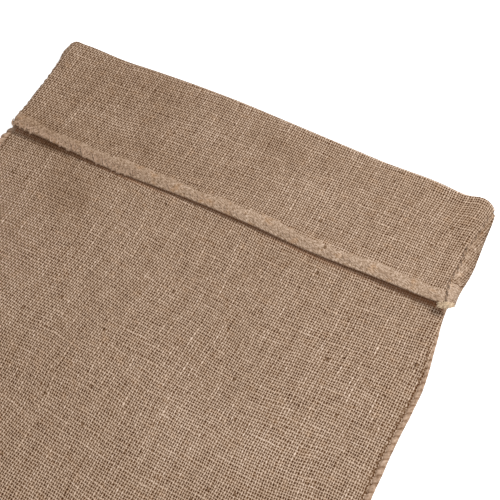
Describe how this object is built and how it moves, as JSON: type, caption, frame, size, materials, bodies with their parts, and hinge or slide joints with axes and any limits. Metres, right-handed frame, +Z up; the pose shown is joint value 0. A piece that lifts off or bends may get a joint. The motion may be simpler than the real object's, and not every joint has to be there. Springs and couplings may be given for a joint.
{
  "type": "jute sack",
  "caption": "Empty flat jute sack of plain-woven hessian, its hemmed mouth end folded over forwards as a flap, with overlocked side seams.",
  "frame": {"origin": "under the middle of the folded sack, on the surface that it lies on", "axes": "+Z up, +Y from the sack's bottom to the fold of its mouth end, +X across to its right"},
  "size_m": [0.5072, 0.6758, 0.0151],
  "materials": {
    "hessian": "matt, open plain weave",
    "jute_yarn": "matt, hairy spun yarn"
  },
  "bodies": {
    "root": {"sack_cloth": "hessian", "right_seam": "jute_yarn", "left_seam": "jute_yarn"}
  },
  "joints": []
}
